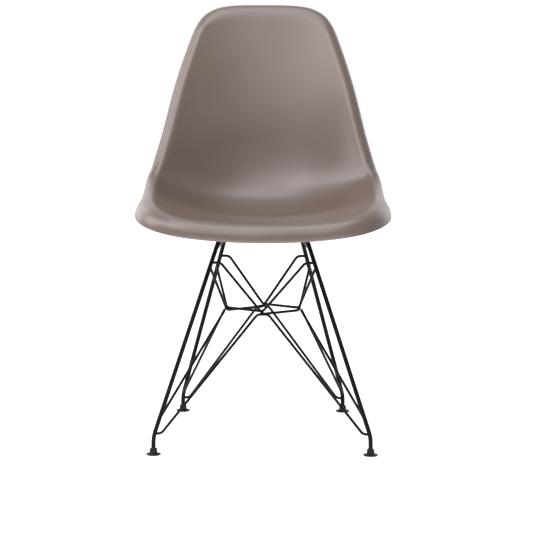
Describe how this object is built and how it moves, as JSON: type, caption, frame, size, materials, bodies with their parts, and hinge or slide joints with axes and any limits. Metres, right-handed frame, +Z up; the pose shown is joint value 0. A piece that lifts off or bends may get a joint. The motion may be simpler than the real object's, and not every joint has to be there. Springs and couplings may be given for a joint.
{
  "type": "shell chair",
  "caption": "Dining chair with a moulded plastic shell seat on a welded tower of steel rod and wire with swivelling glides.",
  "frame": {"origin": "on the floor under the middle of the whole chair", "axes": "+Z up, X across the chair, the sitter faces -Y"},
  "size_m": [0.473, 0.5472, 0.8001],
  "materials": {
    "seat_plastic": "satin moulded polypropylene, taupe",
    "frame_paint": "black powder coat, low sheen",
    "glide_plastic": "black nylon",
    "pad_rubber": "matte",
    "plated_steel": "zinc plated",
    "insert_brass": "plain"
  },
  "bodies": {
    "chair": {"seat_shell": "seat_plastic", "leg_front_left": "frame_paint", "leg_front_right": "frame_paint", "leg_rear_left": "frame_paint", "leg_rear_right": "frame_paint", "cross_bar_front": "frame_paint", "cross_bar_rear": "frame_paint", "side_rail_left": "frame_paint", "side_rail_right": "frame_paint", "upper_brace_front_left": "frame_paint", "upper_brace_front_right": "frame_paint", "upper_brace_rear_left": "frame_paint", "upper_brace_rear_right": "frame_paint", "lower_brace_front": "frame_paint", "lower_brace_back": "frame_paint", "lower_brace_left": "frame_paint", "lower_brace_right": "frame_paint", "mounting_tab_front_left": "frame_paint", "mounting_tab_front_right": "frame_paint", "mounting_tab_rear_left": "frame_paint", "mounting_tab_rear_right": "frame_paint", "rubber_pad_front_left": "pad_rubber", "rubber_pad_front_right": "pad_rubber", "rubber_pad_rear_left": "pad_rubber", "rubber_pad_rear_right": "pad_rubber", "threaded_inserts": "insert_brass", "flat_washers": "plated_steel", "spring_washers": "plated_steel", "mounting_bolts": "plated_steel"},
    "glide_front_left": {"glide_front_left": "glide_plastic"},
    "glide_front_right": {"glide_front_right": "glide_plastic"},
    "glide_rear_left": {"glide_rear_left": "glide_plastic"},
    "glide_rear_right": {"glide_rear_right": "glide_plastic"}
  },
  "joints": [
    {"name": "glide_tilt_front_left", "type": "hinge", "parent": "chair", "child": "glide_front_left", "pos_m": [-0.198, -0.235, 0.0066], "axis": [0, 1, 0], "range_deg": [-8, 8]},
    {"name": "glide_tilt_front_right", "type": "hinge", "parent": "chair", "child": "glide_front_right", "pos_m": [0.198, -0.235, 0.0066], "axis": [0, 1, 0], "range_deg": [-8, 8]},
    {"name": "glide_tilt_rear_left", "type": "hinge", "parent": "chair", "child": "glide_rear_left", "pos_m": [-0.1585, 0.161, 0.0066], "axis": [0, 1, 0], "range_deg": [-8, 8]},
    {"name": "glide_tilt_rear_right", "type": "hinge", "parent": "chair", "child": "glide_rear_right", "pos_m": [0.1585, 0.161, 0.0066], "axis": [0, 1, 0], "range_deg": [-8, 8]}
  ]
}
